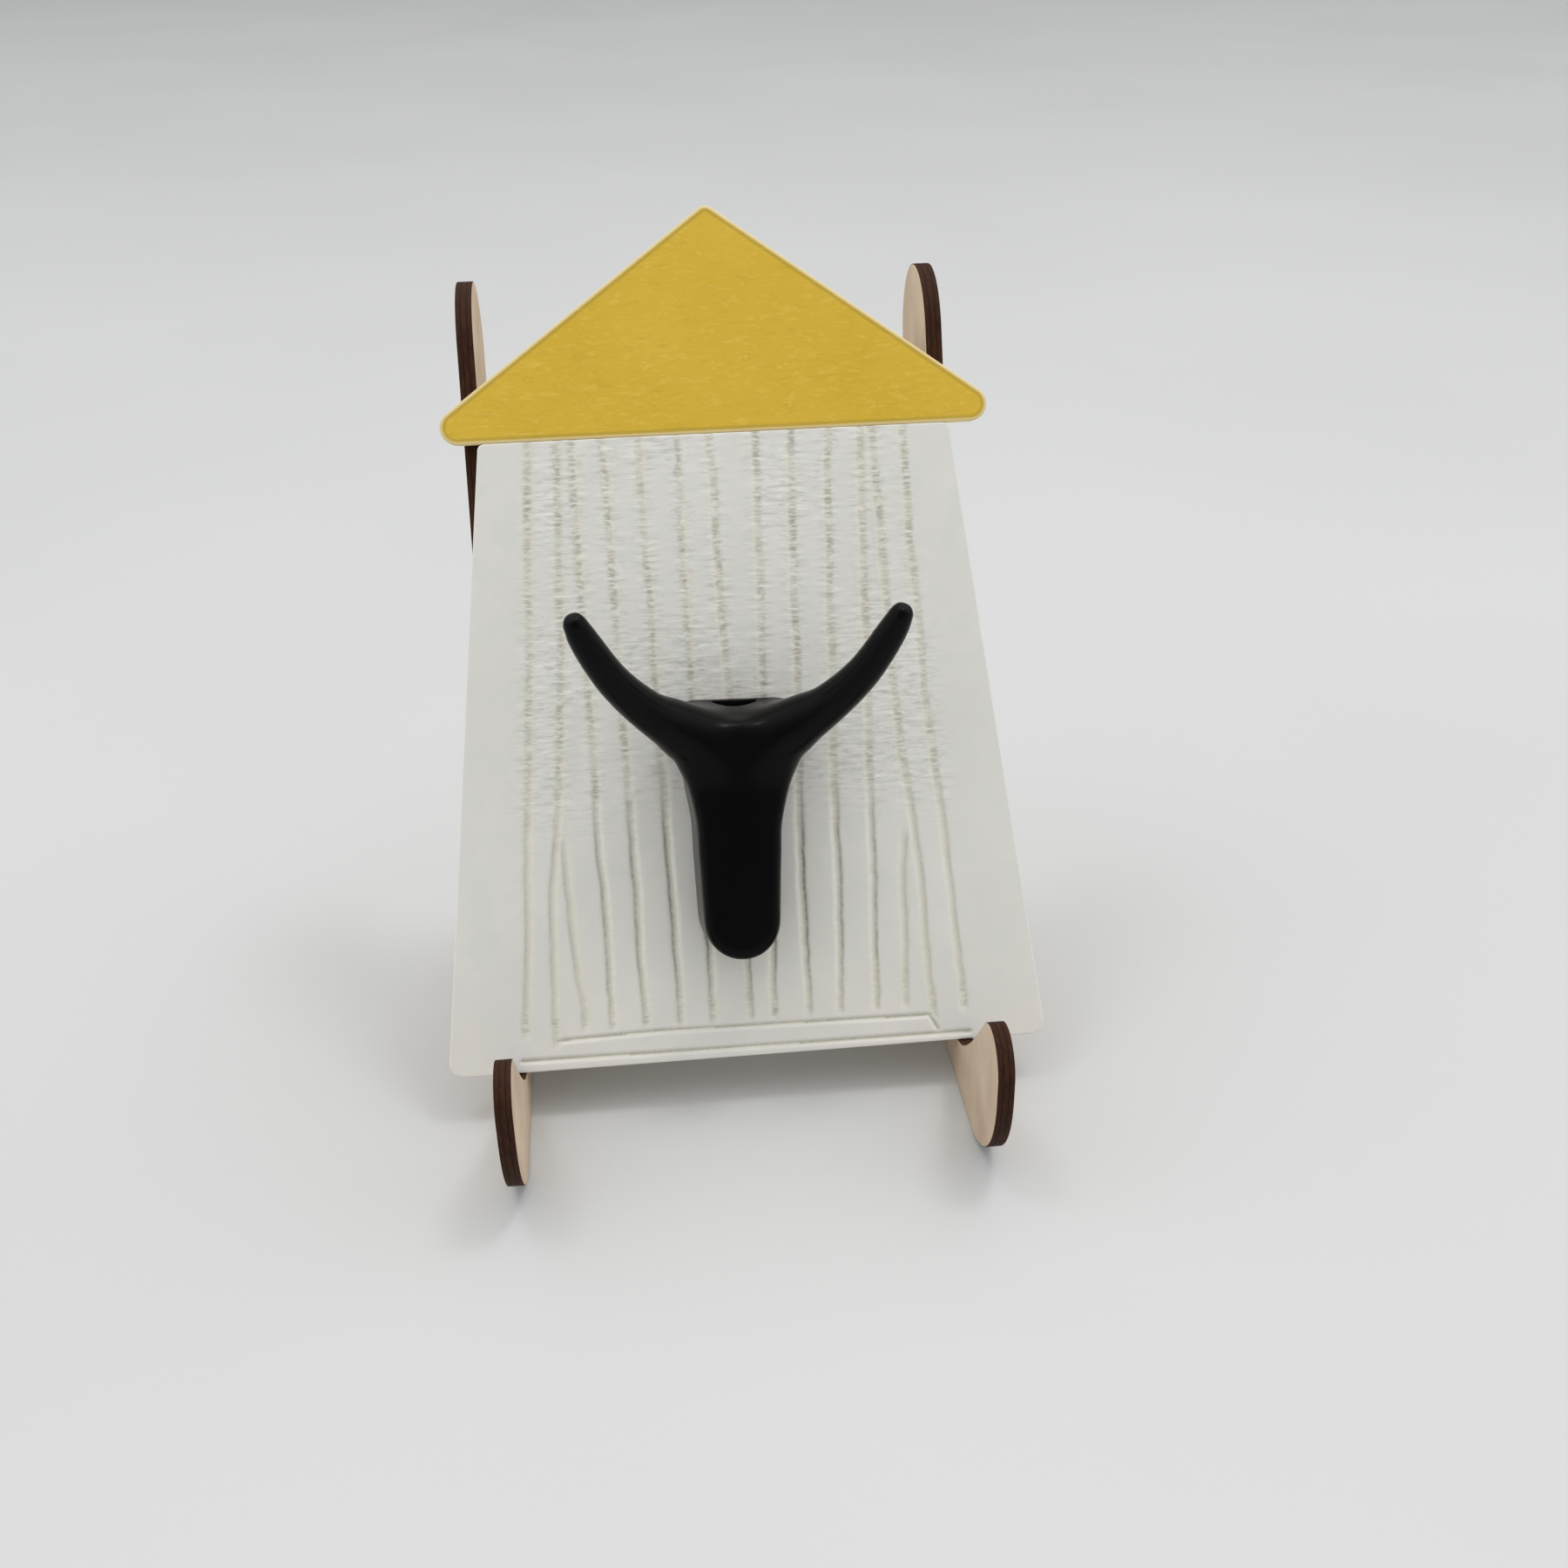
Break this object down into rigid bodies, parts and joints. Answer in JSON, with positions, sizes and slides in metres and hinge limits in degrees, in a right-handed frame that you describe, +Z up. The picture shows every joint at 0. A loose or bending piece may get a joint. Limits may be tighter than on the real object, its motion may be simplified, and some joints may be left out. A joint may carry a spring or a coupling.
{
  "type": "house-shaped hook board on a stand",
  "caption": "Small house-shaped board with a plank-grooved wall, a triangular roof plate and a Y-shaped hook, leaning back in the notches of a laser-cut plywood stand.",
  "frame": {"origin": "on the table, in the middle of the whole thing's footprint", "axes": "+Z up, +X to the viewer's right when facing the hook, +Y away from the viewer"},
  "size_m": [0.1512, 0.1488, 0.2073],
  "materials": {
    "white_board": "matt, grooved, lightly wrinkled",
    "gold_board": "satin gold, finely scratched",
    "black_plastic": "satin black",
    "plywood": "bare birch faces, burnt laser-cut edges",
    "steel": "zinc plated"
  },
  "bodies": {
    "stand": {"left_leg": "plywood", "right_leg": "plywood", "middle_cross_bar": "plywood", "lower_cross_bar": "plywood"},
    "house": {"wall_panel": "white_board", "roof_plate": "gold_board", "joining_strip": "plywood", "hook": "black_plastic", "hook_screw": "steel", "hook_washer": "steel"}
  },
  "joints": [
    {"name": "house_lift", "type": "slide", "parent": "stand", "child": "house", "axis": [0, 0.3746, 0.9272], "range_m": [0, 0.035]}
  ]
}
